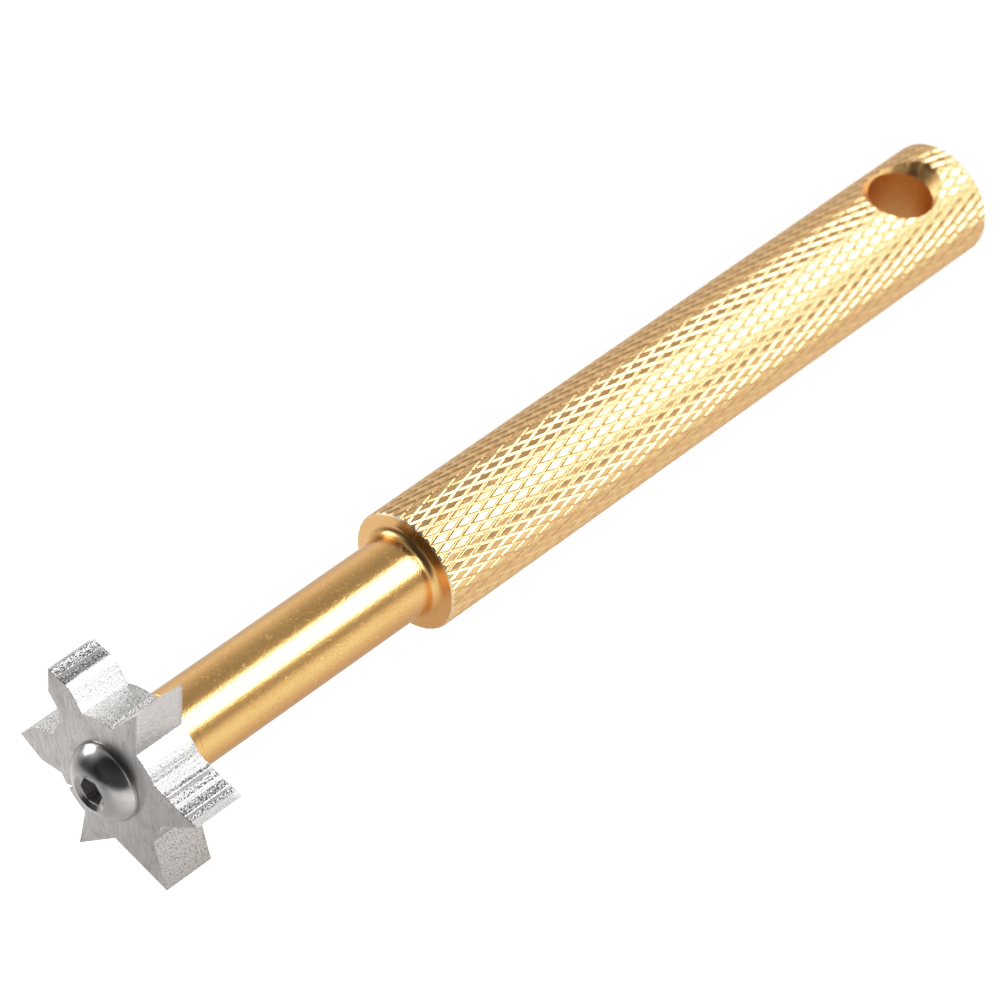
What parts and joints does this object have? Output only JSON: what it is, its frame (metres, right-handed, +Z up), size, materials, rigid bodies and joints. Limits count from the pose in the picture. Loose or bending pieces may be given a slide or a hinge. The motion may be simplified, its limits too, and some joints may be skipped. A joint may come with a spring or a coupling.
{
  "type": "deburring tool",
  "caption": "Hand scraping and deburring tool: round knurled handle with a lanyard hole and slim neck, carrying a star-shaped steel cutter clamped by a button-head socket screw.",
  "frame": {"origin": "centre of the handle's flat rear end face", "axes": "+X along the tool's axis towards the cutter, +Z up with two neighbouring cutter points level below the axis, +Y completes a right-handed frame"},
  "size_m": [0.1441, 0.0276, 0.024],
  "materials": {
    "gold_anodised": "bright gold anodised, satin neck and polished end faces",
    "tool_steel": "ground front and back, rough cut flanks",
    "polished_stainless": "polished stainless steel"
  },
  "bodies": {
    "handle_body": {"handle": "gold_anodised"},
    "cutter_body": {"cutter": "tool_steel"},
    "screw_body": {"clamp_screw": "polished_stainless"}
  },
  "joints": [
    {"name": "cutter_lift", "type": "slide", "parent": "handle_body", "child": "cutter_body", "axis": [1, 0, 0], "range_m": [0, 0.0132]},
    {"name": "screw_turn", "type": "hinge", "parent": "cutter_body", "child": "screw_body", "pos_m": [0.1414, 0, 0], "axis": [1, 0, 0], "range_deg": [0, 5940]}
  ],
  "couplings": [
    {"joint": "screw_turn", "follows": "cutter_lift", "rad_per_m": 7854}
  ]
}
